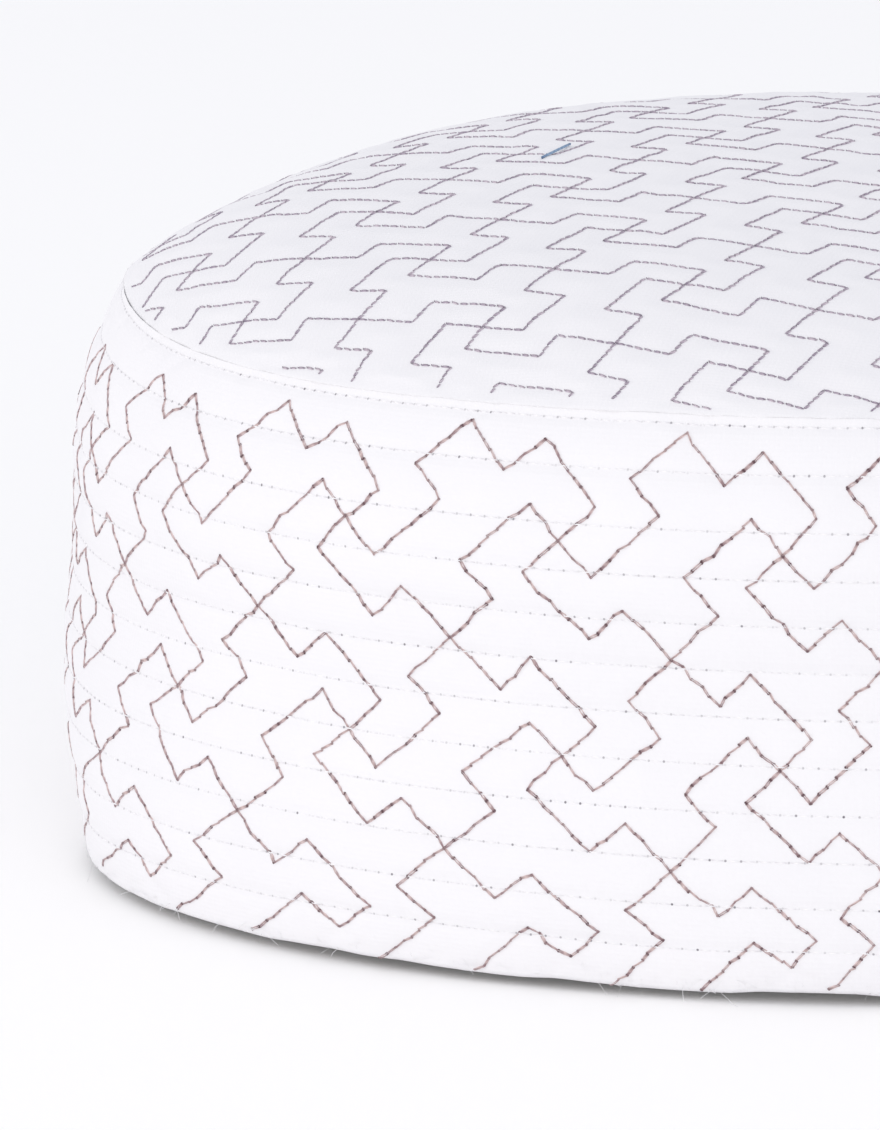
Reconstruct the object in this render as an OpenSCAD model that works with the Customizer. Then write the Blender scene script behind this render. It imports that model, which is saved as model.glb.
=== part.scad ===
// Round quilted cotton prayer cap, standing on its hem, open below.
// Origin: centre of the hem circle, on the plane that the cap stands on. +Z is up.
// The band is a wall of three cloth layers that leans in near its top. The crown is a
// pillowed disc of three layers, sewn to the band with its edge turned down inside.

/* [Head size] */
// Inner girth at the hem, over the sweatband
head_girth = 575; // [530:5:620]

/* [Band] */
// Height of the band, from hem to crown seam
band_h = 61; // [45:1:85]
// How far the wall leans in at the crown seam
band_lean = 8.3; // [0:0.1:14]
// How late the lean begins: higher keeps the lower wall upright
lean_power = 3; // [2:1:6]
// Height of the hem turned up inside
turn_up_h = 8; // [5:0.5:15]

/* [Crown] */
// Height of the crown above its seam
crown_rise = 12.8; // [6:0.2:20]
// Squareness of the crown's shoulder
crown_power = 5.5; // [3:0.5:8]
// Depth of the crown's edge turned down inside the band
edge_turn_h = 7; // [4:0.5:12]

/* [Cloth] */
// Thickness of the outer cotton
shell_t = 0.45; // [0.3:0.05:0.8]
// Thickness of the interlining
interlining_t = 0.6; // [0.3:0.05:1.2]
// Thickness of the lining
lining_t = 0.45; // [0.3:0.05:0.8]
// Thickness of the sweatband
sweatband_t = 0.5; // [0.3:0.05:1]
// Height of the sweatband
sweatband_h = 27; // [15:1:30]
// Thickness of the bias tape over the crown seam
tape_t = 0.4; // [0.3:0.05:0.8]

/* [Stitching] */
// Diameter of the sewing thread
thread_d = 0.3; // [0.2:0.05:0.5]
// Length of one stitch
stitch_l = 2; // [1.5:0.1:3]
// Drop of the edge stitching below the crown seam
edge_stitch_drop = 1.2; // [0.8:0.1:3]

/* [Hidden] */
$fn = 96;

// Straight runs along each curved wall line
wall_steps = 14;
// Quilting rows on the band, evenly spaced between the crown seam and the hem
quilt_rows = 11;
row_gap = band_h / (quilt_rows + 1);

// How deep each layer's inner face lies under the outer surface
shell_in = shell_t;
interlining_in = shell_in + interlining_t;
lining_in = interlining_in + lining_t;
turn_in = lining_in + shell_t;
sweatband_in = turn_in + sweatband_t;
binding_in = turn_in + tape_t;

hem_r = head_girth / (2 * PI) + sweatband_in;
seam_r = hem_r - band_lean;
// The crown's layers crowd together towards the steep edge
edge_crowding = 1.3;

cotton = "white";
felt = "whitesmoke";
thread = "lightgrey";

// Outer radius of the band at height z
function band_r(z) = hem_r - band_lean * pow(z / band_h, lean_power);

// Height of the crown's surface at radius r, for a face that lies `deep` under the outer one
function crown_z(r, deep) =
    band_h + (crown_rise - deep) * (1 - pow(r / (seam_r - edge_crowding * deep), crown_power));

// Radius at which that face comes down to `up` above the crown seam
function crown_edge_r(deep, up) =
    (seam_r - edge_crowding * deep) * pow(1 - up / (crown_rise - deep), 1 / crown_power);

// Section line of the band, from height z0 up to z1
function wall_line(deep, z0, z1) =
    [for (i = [0:wall_steps]) let (z = z0 + (z1 - z0) * i / wall_steps) [band_r(z) - deep, z]];

// Section line of the crown, from its centre out to its edge, closer together near the edge
function crown_line(deep, up) =
    [for (i = [0:wall_steps]) let (r = crown_edge_r(deep, up) * sin(90 * i / wall_steps))
        [r, crown_z(r, deep)]];

function reversed(line) = [for (i = [len(line) - 1:-1:0]) line[i]];

module wall_layer(deep_out, deep_in, z0, z1) {
    rotate_extrude()
        polygon(concat(wall_line(deep_out, z0, z1), reversed(wall_line(deep_in, z0, z1))));
}

module crown_layer(deep_out, deep_in) {
    rotate_extrude()
        polygon(concat(crown_line(deep_out, shell_t), reversed(crown_line(deep_in, shell_t))));
}

// One row of stitches, standing on the wall at height z
module stitch_ring(z, stand_off) {
    rotate_extrude()
        translate([band_r(z) + stand_off, z])
            circle(d = thread_d, $fn = 16);
}

module crown_shell() {
    color(cotton)
        rotate_extrude()
            polygon(concat(
                crown_line(0, 0),
                [[band_r(band_h) - turn_in, band_h]],
                [[band_r(band_h) - turn_in, band_h + shell_t]],
                reversed(crown_line(shell_in, shell_t))
            ));
}

// The crown's edge, turned down inside the band behind the lining
module crown_seam_allowance() {
    color(cotton)
        wall_layer(lining_in, turn_in, band_h - edge_turn_h, band_h);
}

module crown_interlining() {
    color(felt)
        crown_layer(shell_in, interlining_in);
}

module crown_lining() {
    color(cotton)
        crown_layer(interlining_in, lining_in);
}

// Bias tape that covers the crown's turned edge
module crown_seam_binding() {
    low = band_h - edge_turn_h;
    color(cotton)
        rotate_extrude()
            polygon(concat(
                wall_line(turn_in, low, band_h - tape_t),
                reversed(wall_line(binding_in, low - tape_t, band_h - tape_t)),
                [[band_r(low - tape_t) - lining_in, low - tape_t]],
                [[band_r(low) - lining_in, low]]
            ));
}

// Outer cotton with the hem folded under and up inside
module band_shell() {
    color(cotton)
        rotate_extrude()
            polygon(concat(
                wall_line(0, 0, band_h),
                reversed(wall_line(shell_in, shell_t, band_h)),
                wall_line(lining_in, shell_t, turn_up_h),
                reversed(wall_line(turn_in, 0, turn_up_h))
            ));
}

module band_interlining() {
    color(felt)
        wall_layer(shell_in, interlining_in, shell_t, band_h);
}

module band_lining() {
    color(cotton)
        wall_layer(interlining_in, lining_in, shell_t, band_h);
}

module sweatband() {
    low = 2 * shell_t;
    color(cotton)
        wall_layer(turn_in, sweatband_in, low, low + sweatband_h);
}

module crown_edge_stitching() {
    color(thread)
        stitch_ring(band_h - edge_stitch_drop, 0.56 * thread_d);
}

module sweatband_stitching() {
    color(thread)
        stitch_ring(row_gap, -sweatband_in - 0.5 * thread_d);
}

// The band's ends meet at the back, held by one upright row of stitches
module back_seam_stitching() {
    pitch = 1.25 * stitch_l;
    first = 2 * pitch;
    color(thread)
        for (z = [first:pitch:band_h - first]) {
            lean = atan2(band_r(z - 1) - band_r(z + 1), 2);
            translate([0, band_r(z) + 0.56 * thread_d, z])
                rotate([lean, 0, 0])
                    cylinder(d = thread_d, h = stitch_l, center = true, $fn = 16);
        }
}

// A loose blue tacking stitch left on the crown
module marking_thread() {
    mark_x = -35;
    mark_y = -1;
    mark_l = 9;
    mark_d = 0.4;
    color("steelblue")
        translate([mark_x, mark_y, crown_z(norm([mark_x, mark_y]), 0) + 0.75 * mark_d])
            rotate([90, 0, -6])
                cylinder(d = mark_d, h = mark_l, center = true, $fn = 16);
}

// Rows are counted from the crown seam down
module quilting_row(count) {
    color(thread)
        stitch_ring(band_h - count * row_gap, 0.56 * thread_d);
}

crown_shell();
crown_seam_allowance();
crown_interlining();
crown_lining();
crown_seam_binding();
band_shell();
band_interlining();
band_lining();
sweatband();
crown_edge_stitching();
sweatband_stitching();
back_seam_stitching();
marking_thread();
quilting_row(1);  // quilting_row_01
quilting_row(2);  // quilting_row_02
quilting_row(3);  // quilting_row_03
quilting_row(4);  // quilting_row_04
quilting_row(5);  // quilting_row_05
quilting_row(6);  // quilting_row_06
quilting_row(7);  // quilting_row_07
quilting_row(8);  // quilting_row_08
quilting_row(9);  // quilting_row_09
quilting_row(10);  // quilting_row_10
quilting_row(11);  // quilting_row_11
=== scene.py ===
import math

import bpy
import numpy as np
from mathutils import Matrix, Vector


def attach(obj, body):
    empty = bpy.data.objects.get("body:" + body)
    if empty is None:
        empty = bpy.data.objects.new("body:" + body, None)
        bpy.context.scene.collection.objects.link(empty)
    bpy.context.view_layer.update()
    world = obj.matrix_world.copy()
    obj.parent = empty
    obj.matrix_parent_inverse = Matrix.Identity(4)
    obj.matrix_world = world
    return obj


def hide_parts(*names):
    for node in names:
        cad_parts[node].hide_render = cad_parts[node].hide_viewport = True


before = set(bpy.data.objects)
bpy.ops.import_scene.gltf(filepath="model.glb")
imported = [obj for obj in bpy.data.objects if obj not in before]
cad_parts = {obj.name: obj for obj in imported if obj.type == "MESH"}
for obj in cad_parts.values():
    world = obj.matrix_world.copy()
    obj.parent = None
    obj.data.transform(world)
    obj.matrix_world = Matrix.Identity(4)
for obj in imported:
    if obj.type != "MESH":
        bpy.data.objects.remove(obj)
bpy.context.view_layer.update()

mm = 0.001

# camera

view = dict(
    eye=(0.2186, -0.8569, 0.2229),  # looks from 17 degrees right of the front and 12 up
    aim=(-0.0509, 0.0, 0.0249),     # so the cap fills the right of the frame
    rollDeg=-0.67,
    lens=244.7,
)


def placeCamera():
    # the camera's own axes: right, up and backwards, turned by the roll
    eye, aim = Vector(view["eye"]), Vector(view["aim"])
    forward = (aim - eye).normalized()
    right = forward.cross(Vector((0, 0, 1))).normalized()
    up = right.cross(forward)
    roll = math.radians(view["rollDeg"])
    rolledRight = right * math.cos(roll) + up * math.sin(roll)
    rolledUp = up * math.cos(roll) - right * math.sin(roll)
    data = bpy.data.cameras.new("studioCamera")
    data.lens = view["lens"]
    data.clip_start, data.clip_end = 0.05, 20
    camera = bpy.data.objects.new("studioCamera", data)
    axes = Matrix((rolledRight, rolledUp, -forward)).transposed().to_4x4()
    camera.matrix_world = Matrix.Translation(eye) @ axes
    bpy.context.scene.collection.objects.link(camera)
    bpy.context.scene.camera = camera


placeCamera()
print("camera placed")

# shape of the sewn cap, all in mm until it is put into a mesh

cap = dict(
    planRadius=90.0,    # half width of the band's plan
    squareness=2.2,     # exponent of the plan curve; 2 would be a circle
    wallLength=64.0,    # along the cloth, from hem to crown seam
    offsetAt=(0, 0.2, 0.5, 0.8, 1),           # shares of that length
    frontOffset=(2.7, 3.2, 0, 0.5, -6.2),     # how far the wall bulges at front and back
    sideOffset=(0.9, 2.5, 0, -1.7, -6.5),     # and at the sides
    # soft dents from handling, placed in degrees from the right, round by the back
    dentAt=(180, 200, 220, 240),
    dentWidth=0.28,                       # in radians
    hemDent=(0, -5.2, 1.8, 0.75),         # mm outwards at the hem
    middleDent=(2.9, -0.4, 0.2, -0.4),    # and half way up
    hemReach=15.3, middleAt=31, middleReach=14,
    seamLift=(0, 1.9, 0.1, -0.2),         # and how much the crown seam rises there
    crownRise=13.8,
    crownPower=7.5,     # higher makes the crown's shoulder squarer
    crownTilt=(-0.07, 0.16),   # the crown leans up to the left and to the back
    crownFall=0.32,     # how much it slopes from its middle to its edge
    crownReach=80.0,    # the radius that tilt and fall are told at
    foldRadius=1.0,     # of the hem's fold
    turnUp=8.0,         # hem allowance inside
    crownAllowance=7.0, # and the crown's, turned down behind the band
)
# how deep each layer lies under the outer face
layerDepth = dict(felt=0.75, lining=1.3, turned=1.75, sweatband=2.3, tape=2.15)


def smoothThrough(x, knots, values):
    # natural cubic spline: bends b solve h0 b0 + 2 (h0 + h1) b1 + h1 b2 = 6 (slope after - slope before),
    # and a point is its straight blend plus each end's bend times (share^3 - share) h^2 / 6
    knots, values = np.array(knots, float), np.array(values, float)
    h = np.diff(knots)
    system = np.eye(len(knots))
    inside = np.arange(1, len(knots) - 1)
    system[inside, inside - 1], system[inside, inside + 1] = h[:-1], h[1:]
    system[inside, inside] = 2 * (h[:-1] + h[1:])
    bends = np.linalg.solve(system, np.concatenate([[0], 6 * np.diff(np.diff(values) / h), [0]]))
    k = np.clip(np.searchsorted(knots, x, side="right") - 1, 0, len(knots) - 2)
    a, b = (knots[k + 1] - x) / h[k], (x - knots[k]) / h[k]
    curve = ((a**3 - a) * bends[k] + (b**3 - b) * bends[k + 1]) * h[k]**2 / 6
    return a * values[k] + b * values[k + 1] + curve


# plan curve: r = R / (|cos|^q + |sin|^q)^(1/q), walked from the front (-Y) round by +X
planAngle = np.linspace(-0.5, 1.5, 2881) * math.pi
planCos, planSin = np.cos(planAngle), np.sin(planAngle)
q = cap["squareness"]
planR = cap["planRadius"] * (np.abs(planCos)**q + np.abs(planSin)**q)**(-1 / q)
planX, planY = planR * planCos, planR * planSin
planS = np.concatenate([[0], np.cumsum(np.hypot(np.diff(planX), np.diff(planY)))])
girth = planS[-1]
gradX = np.sign(planX) * np.abs(planX)**(q - 1)
gradY = np.sign(planY) * np.abs(planY)**(q - 1)
gradLength = np.hypot(gradX, gradY)
planNx, planNy = gradX / gradLength, gradY / gradLength

# wall line: offset and height against the length walked up from the hem
wallArc = np.linspace(0, cap["wallLength"], 401)
wallShare = wallArc / cap["wallLength"]
frontOff = smoothThrough(wallShare, cap["offsetAt"], cap["frontOffset"])
sideOff = smoothThrough(wallShare, cap["offsetAt"], cap["sideOffset"])
offStep = np.diff((frontOff + sideOff) / 2)
arcStep = wallArc[1] - wallArc[0]
wallZ = np.concatenate([[0], np.cumsum(np.sqrt(arcStep**2 - offStep**2))])
wallLean = np.gradient((frontOff + sideOff) / 2, wallArc)   # sine of the lean, outwards positive
seamZ = wallZ[-1]


noiseGrid = (61, 67)   # cells before the noise repeats, across and down


def softNoise(x, y, size, seed, wrap=None):
    # random values from -1 to 1 on a grid of that size, blended between its corners by f^2 (3 - 2 f);
    # with `wrap` it closes on itself round the cap
    cells, deep = noiseGrid
    if wrap:
        cells = int(round(wrap / size))
    grid = np.random.default_rng(seed).uniform(-1, 1, (cells, deep))
    gx, gy = x / (wrap / cells if wrap else size), y / size
    ix, iy = np.floor(gx).astype(int), np.floor(gy).astype(int)
    fx, fy = gx - ix, gy - iy
    fx, fy = fx * fx * (3 - 2 * fx), fy * fy * (3 - 2 * fy)
    ix, iy, jx, jy = ix % cells, iy % deep, (ix + 1) % cells, (iy + 1) % deep
    return ((grid[ix, iy] * (1 - fx) + grid[jx, iy] * fx) * (1 - fy)
            + (grid[ix, jy] * (1 - fx) + grid[jx, jy] * fx) * fy)


hem = dict(
    lift=1.25, standAt=0.44,   # mm off the table, and where it stands on it, as a share of the way round
    liftReach=7,               # mm up the wall over which the lift fades
    wave=0.22, waveSize=38, ripple=0.2, rippleSize=4.5,
    fray=0.1, fraySize=0.9,
)


def hemLift(s):
    # the cap stands on its hem at the back and is a little off the table elsewhere: lift (1 - back^3),
    # where back grows from 0 opposite the standing place to 1 there, plus long waves and small ripples,
    # and never under the table
    back = 0.5 + 0.5 * np.cos(2 * math.pi * (s / girth - hem["standAt"]))
    waves = hem["wave"] * softNoise(s, 0 * s + 3, hem["waveSize"], 11, girth)
    ripples = hem["ripple"] * softNoise(s, 0 * s + 9, hem["rippleSize"], 12, girth)
    return np.maximum(0.02, hem["lift"] * (1 - back**3) + waves + ripples)


def roundAbout(angle, sizes):
    # the sum over the dents of size exp(-((angle - the dent's) / width)^2)
    around = np.mod(angle, 2 * math.pi)
    return sum(size * np.exp(-((around - math.radians(at)) / cap["dentWidth"])**2)
               for at, size in zip(cap["dentAt"], sizes))


def wallPoint(s, arc, out):
    # a point on the wall: plan curve at s, pushed along its normal by the wall line, blended from front
    # to side by the square of the sine, then by `out` square to the leaning cloth, then dented
    s = np.mod(s, girth)
    x, y = np.interp(s, planS, planX), np.interp(s, planS, planY)
    nx, ny = np.interp(s, planS, planNx), np.interp(s, planS, planNy)
    sinSq = y * y / (x * x + y * y)
    lean = np.interp(arc, wallArc, wallLean)
    tall = np.sqrt(1 - lean * lean)
    o = np.interp(arc, wallArc, frontOff) * sinSq + np.interp(arc, wallArc, sideOff) * (1 - sinSq)
    o += out * tall
    angle = np.arctan2(y, x)
    o += roundAbout(angle, cap["hemDent"]) * np.exp(-(np.maximum(arc, 0) / cap["hemReach"])**2)
    o += roundAbout(angle, cap["middleDent"]) * np.exp(-((arc - cap["middleAt"]) / cap["middleReach"])**2)
    z = np.interp(arc, wallArc, wallZ) + np.minimum(arc, 0) - out * lean
    z += hemLift(s) * np.exp(-np.maximum(arc, 0) / hem["liftReach"])
    z += roundAbout(angle, cap["seamLift"]) * np.clip(arc / cap["wallLength"], 0, 1.1)**2
    return np.stack([x + o * nx, y + o * ny, z], -1)


# crown edge, from the wall's own top
edgeS = np.linspace(0, girth, 1441)[:-1]
edgeXY = wallPoint(edgeS, 0 * edgeS + cap["wallLength"], 0 * edgeS)[:, :2]
edgeAngle = np.unwrap(np.arctan2(edgeXY[:, 1], edgeXY[:, 0]))
edgeRadius = np.hypot(edgeXY[:, 0], edgeXY[:, 1])


def edgeAt(angle):
    # radius of the crown seam at that angle, straight between its known points
    around = np.mod(angle - edgeAngle[0], 2 * math.pi) + edgeAngle[0]
    known = np.append(edgeAngle, edgeAngle[0] + 2 * math.pi)
    return np.interp(around, known, np.append(edgeRadius, edgeRadius[0]))


def slackAt(edge):
    # the extra cloth that the steep shoulder takes up, half its slope squared summed along the radius:
    # rise^2 m^2 / (2 edge (2 m - 1))
    m = cap["crownPower"]
    return 0.5 * cap["crownRise"]**2 * m * m / edge / (2 * m - 1)


def crownHeight(x, y):
    # z = seam + rise (1 - rho^m), tilted a little, and falling off with the square of the radius,
    # where rho is the share of the way to the edge
    angle = np.arctan2(y, x)
    rho = np.hypot(x, y) / edgeAt(angle)
    dome = cap["crownRise"] * (1 - np.clip(rho, 0, 1)**cap["crownPower"])
    tiltX, tiltY = cap["crownTilt"]
    reach = cap["crownReach"]
    shape = 1 + (tiltX * x + tiltY * y) / reach - cap["crownFall"] * (x * x + y * y) / reach**2
    return seamZ + dome * shape + roundAbout(angle, cap["seamLift"]) * rho**4


def crownSkin(flatX, flatY):
    # from flat cloth to the dome: r = flat radius - slack (r / edge)^(2 m - 1), found by repeated halving
    flatR = np.hypot(flatX, flatY) + 1e-9
    edge = edgeAt(np.arctan2(flatY, flatX))
    slack, power = slackAt(edge), 2 * cap["crownPower"] - 1
    r = flatR.copy()
    for turn in range(14):
        r = 0.5 * r + 0.5 * (flatR - slack * np.clip(r / edge, 0, 1.1)**power)
    x, y = flatX * r / flatR, flatY * r / flatR
    return np.stack([x, y, crownHeight(x, y)], -1)


def crownPoint(flatX, flatY, out):
    # the dome's skin, pushed along its normal, which comes from two neighbouring points
    here = crownSkin(flatX, flatY)
    normal = np.cross(crownSkin(flatX + 0.05, flatY) - here, crownSkin(flatX, flatY + 0.05) - here)
    normal /= np.linalg.norm(normal, axis=-1, keepdims=True)
    return here + normal * out[..., None]


def edgeGap(flatX, flatY):
    # flat distance from the crown seam: edge + slack - flat radius
    edge = edgeAt(np.arctan2(flatY, flatX))
    return edge + slackAt(edge) - np.hypot(flatX, flatY)


# the embroidered lattice: two families of stepped lines cross at every whole (s, t)

motif = dict(
    longStep=0.571, shortStep=0.305,   # a step's long and short side, as shares of the way between crossings
    stitch=1.5, crownStitch=1.2,       # mm
)
bandLattice = dict(
    repeats=22,          # round the cap
    start=0.684,         # half repeats between the front and the nearest crossing
    rise=23.5,           # mm between crossings one above the other
    lowest=4.2,          # the hem, in half rises below the first row of crossings
    unit=17.4,           # mm from a crossing to the next along a line
    # the cloth was not laid quite straight: drift across and down, in half repeats and half rises,
    # each term (size, power of the way across, power of the way down)
    across=((0.03, 0, 1), (0.05, 0, 2), (0.085, 1, 1), (0.045, 1, 2), (-0.245, 2, 0), (-0.147, 2, 1),
            (-0.098, 3, 0)),
    down=((-0.01, 0, 1), (-0.084, 0, 2), (0.064, 1, 0), (0.037, 1, 1), (-0.06, 1, 2), (-0.087, 2, 1),
          (-0.024, 3, 0)),
    driftFrom=(-1, 1.5), driftSpan=(4, 2.6),   # where that way starts, and the length of one
    fadeFrom=2.9, fadeOver=1.3,                # the drift dies out towards the back
    twist=0.05, twistReach=0.3,                # and the hem was pulled along as it was turned
)
crownLattice = dict(pitch=16.5, pitchDeep=15.7, turnDeg=-14.2, centre=(-20, -54.6), endGap=1.2)


def drift(u, v):
    # the sum of size a^i b^j over the terms, where a and b are the ways across and down, eased out
    # towards the back, plus a twist that fades up from the hem
    lattice = bandLattice
    u = np.mod(u + lattice["repeats"] + 1, 2 * lattice["repeats"]) - lattice["repeats"] - 1
    a = (u - lattice["driftFrom"][0]) / lattice["driftSpan"][0]
    b = (v - lattice["driftFrom"][1]) / lattice["driftSpan"][1]
    fade = np.clip((lattice["fadeFrom"] - np.abs(a)) / lattice["fadeOver"], 0, 1)
    fade = fade * fade * (3 - 2 * fade)
    outmost = lattice["fadeFrom"] - lattice["fadeOver"]
    a = np.clip(a, -outmost, outmost)
    across, down = [fade * sum(size * a**i * b**j for size, i, j in lattice[way]) for way in ("across", "down")]
    return across + lattice["twist"] * np.exp(-((lattice["lowest"] - v) / lattice["twistReach"])**2), down


halfRepeat, halfRise = girth / bandLattice["repeats"] / 2, bandLattice["rise"] / 2


def latticeToWall(u, v):
    # way round and arc in mm: s = (u + drift - start) half repeats, arc = (lowest - v - drift) half rises
    du, dv = drift(u, v)
    return (u + du - bandLattice["start"]) * halfRepeat, (bandLattice["lowest"] - v - dv) * halfRise


def wallToLattice(s, arc):
    # the same the other way: u = u0 - drift(u, v), corrected over and over
    u0, v0 = s / halfRepeat + bandLattice["start"], bandLattice["lowest"] - arc / halfRise
    u, v = u0, v0
    for turn in range(5):
        du, dv = drift(u, v)
        u, v = u0 - du, v0 - dv
    return u, v


turnCrown = math.radians(crownLattice["turnDeg"])
crownAcross = crownLattice["pitch"] * np.array([math.cos(turnCrown), math.sin(turnCrown)])
crownDeep = crownLattice["pitchDeep"] * np.array([-math.sin(turnCrown), math.cos(turnCrown)])


def latticeToCrown(s, t):
    # flat cloth from the lattice: centre + (s + 1) across - t deep
    i, j = s + 1, -t
    x = crownLattice["centre"][0] + i * crownAcross[0] + j * crownDeep[0]
    y = crownLattice["centre"][1] + i * crownAcross[1] + j * crownDeep[1]
    return x, y


def crownToLattice(x, y):
    # the same the other way, by the two directions' dot products over their squares
    x, y = x - crownLattice["centre"][0], y - crownLattice["centre"][1]
    i = (x * crownAcross[0] + y * crownAcross[1]) / crownLattice["pitch"]**2
    j = (x * crownDeep[0] + y * crownDeep[1]) / crownLattice["pitchDeep"]**2
    return i - 1, -j


def motifLines():
    # corners of both lines over one repeat, as (s, t)
    p, h = motif["longStep"], motif["shortStep"]
    across = [(0, -h), (0, h), (p, h), (p, 0), (2 - p, 0), (2 - p, -h), (2, -h)]
    deep = [(h, 0), (-h, 0), (-h, p), (0, p), (0, 2 - p), (h, 2 - p), (h, 2)]
    return np.array(across), np.array(deep)


def threadDistance(s, t, unitU, unitV):
    # distance in mm to the nearest line: the least over the sides of the nearest repeats, each to the foot of
    # its upright or its nearer end
    u, v = np.mod(s - t + 1, 2) - 1, np.mod(s + t + 1, 2) - 1
    px, py = u * unitU, v * unitV
    nearest = np.full(px.shape, 1e6)
    for line in motifLines():
        for i in range(-2, 3):
            for j in range(-2, 3):
                if (i + j) % 2 or abs(i) + abs(j) > 2:
                    continue
                corner = line + (i, j)
                cx, cy = (corner[:, 0] - corner[:, 1]) * unitU, (corner[:, 0] + corner[:, 1]) * unitV
                for k in range(6):
                    ax, ay, bx, by = cx[k], cy[k], cx[k + 1] - cx[k], cy[k + 1] - cy[k]
                    f = np.clip(((px - ax) * bx + (py - ay) * by) / (bx * bx + by * by), 0, 1)
                    nearest = np.minimum(nearest, (px - ax - f * bx)**2 + (py - ay - f * by)**2)
    return np.sqrt(nearest)


# relief of the cloth

quilting = dict(
    edgeDrop=1.0, firstDrop=6.3, secondDrop=12.5, gap=5.1, rows=11,   # mm down from the crown seam
    pitch=girth / 345, phase=0.37,    # stitch length, 345 to the row, and each row's start as a share of it
    channel=0.2, channelWidth=0.6,    # mm that a row sinks the cloth
    puff=0.1, puffReach=1.6,          # and that the cloth stands up between rows
    wander=0.3, wanderSize=26,
)
relief = dict(
    bandSink=0.14, bandSinkWidth=0.55,    # mm that the embroidery sinks the cloth
    crownSink=0.1, crownSinkWidth=0.6,
    crownPuff=0.35, crownPuffReach=3.2,   # pillows between the lines
    pucker=0.09,                          # small gathers along the stitches
    crease=0.16,                          # slow unevenness
    seamGroove=0.06, grooveWidth=0.4,
    backGroove=0.4, backGrooveWidth=0.45,
)

rowDrops = np.array([quilting["edgeDrop"], quilting["firstDrop"]]
                    + [quilting["secondDrop"] + quilting["gap"] * k for k in range(quilting["rows"] - 1)])
rowArcs = cap["wallLength"] - rowDrops


def rowCoordinate(s, arc):
    # 0 at the edge stitching, 1 at the first quilting row, and so on, straight between rows, which wander
    wandering = arc + quilting["wander"] * softNoise(s, arc, quilting["wanderSize"], 21, girth)
    drop = cap["wallLength"] - wandering
    known = np.concatenate([[rowDrops[0] - 4], rowDrops, [rowDrops[-1] + quilting["gap"]]])
    counts = np.concatenate([[-0.8], np.arange(len(rowDrops) + 1.0)])
    return np.interp(drop, known, counts), wandering


def wallRelief(s, arc):
    # puff (1 - exp(-(row / reach)^2)) - channel exp(-(row / width)^2), less the embroidery's sink of the same
    # form, with puckers near stitches, creases, and a groove at the crown seam and the back seam
    _, wandering = rowCoordinate(s, arc)
    nearRow = np.min(np.abs(wandering[..., None] - rowArcs), -1)
    channel = np.exp(-(nearRow / quilting["channelWidth"])**2)
    u, v = wallToLattice(s, arc)
    thread = threadDistance((u + v) / 2, (v - u) / 2, halfRepeat, halfRise)
    height = quilting["puff"] * (1 - np.exp(-(nearRow / quilting["puffReach"])**2))
    height -= quilting["channel"] * channel
    height -= relief["bandSink"] * np.exp(-(thread / relief["bandSinkWidth"])**2)
    height += relief["pucker"] * softNoise(s, arc * 0.45, 2.6, 31, girth) * np.exp(-nearRow / 1.6)
    height += relief["pucker"] * softNoise(s, arc, 2.2, 32, girth) * np.exp(-thread / 1.5)
    height += relief["crease"] * softNoise(s, arc, 11, 33, girth)
    height -= relief["seamGroove"] * np.exp(-((cap["wallLength"] - arc) / relief["grooveWidth"])**2)
    fromBack = np.abs(np.mod(s, girth) - girth / 2)
    return height - relief["backGroove"] * np.exp(-(fromBack / relief["backGrooveWidth"])**2)


def crownRelief(flatX, flatY):
    # puff (1 - exp(-(thread / reach)^2)) - sink exp(-(thread / width)^2), where thread is the distance to the
    # nearest line, with puckers and creases; all of it fades out over the last 3 mm before the seam groove
    s, t = crownToLattice(flatX, flatY)
    thread = threadDistance(s, t, crownLattice["pitch"] / 2**0.5, crownLattice["pitchDeep"] / 2**0.5)
    gap = edgeGap(flatX, flatY)
    height = relief["crownPuff"] * (1 - np.exp(-(thread / relief["crownPuffReach"])**2))
    height -= relief["crownSink"] * np.exp(-(thread / relief["crownSinkWidth"])**2)
    height += 1.2 * relief["pucker"] * softNoise(flatX, flatY, 2.4, 41) * np.exp(-thread / 2)
    height += relief["crease"] * softNoise(flatX + 200, flatY + 200, 12, 42)
    height *= np.clip(gap / 3, 0, 1)
    return height - relief["seamGroove"] * np.exp(-(gap / relief["grooveWidth"])**2)


# materials

wavePeriod = 0.314   # metres between the bands of a wave texture at scale 1


def srgb(code):
    # an sRGB hex colour as linear red, green, blue and 1: ((c + 0.055) / 1.055)^2.4, or c / 12.92 if very dark
    parts = [int(code[i:i + 2], 16) / 255 for i in (1, 3, 5)]
    return tuple(c / 12.92 if c <= 0.04045 else ((c + 0.055) / 1.055)**2.4 for c in parts) + (1.0,)


def addNode(tree, kind, links=(), inputs=None, **settings):
    # links are (input name or number, output socket) pairs, and inputs are values by number; settings with a
    # capital go to an input of that name, and the others to the node itself
    node = tree.nodes.new(kind)
    for name, value in settings.items():
        if name[0].isupper():
            node.inputs[name.replace("_", " ")].default_value = value
        else:
            setattr(node, name, value)
    for number, value in (inputs or {}).items():
        node.inputs[number].default_value = value
    for target, source in links:
        tree.links.new(source, node.inputs[target])
    return node


def newMaterial(name, colour, roughness, sheen=0.0):
    # one Principled shader with the values that are the same all over
    material = bpy.data.materials.new(name)
    material.use_nodes = True
    tree = material.node_tree
    shader = tree.nodes["Principled BSDF"]
    shader.inputs["Base Color"].default_value = srgb(colour)
    shader.inputs["Roughness"].default_value = roughness
    shader.inputs["Specular IOR Level"].default_value = 0.25
    shader.inputs["Sheen Weight"].default_value = sheen
    shader.inputs["Sheen Roughness"].default_value = 0.5
    return material, tree, shader


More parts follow.
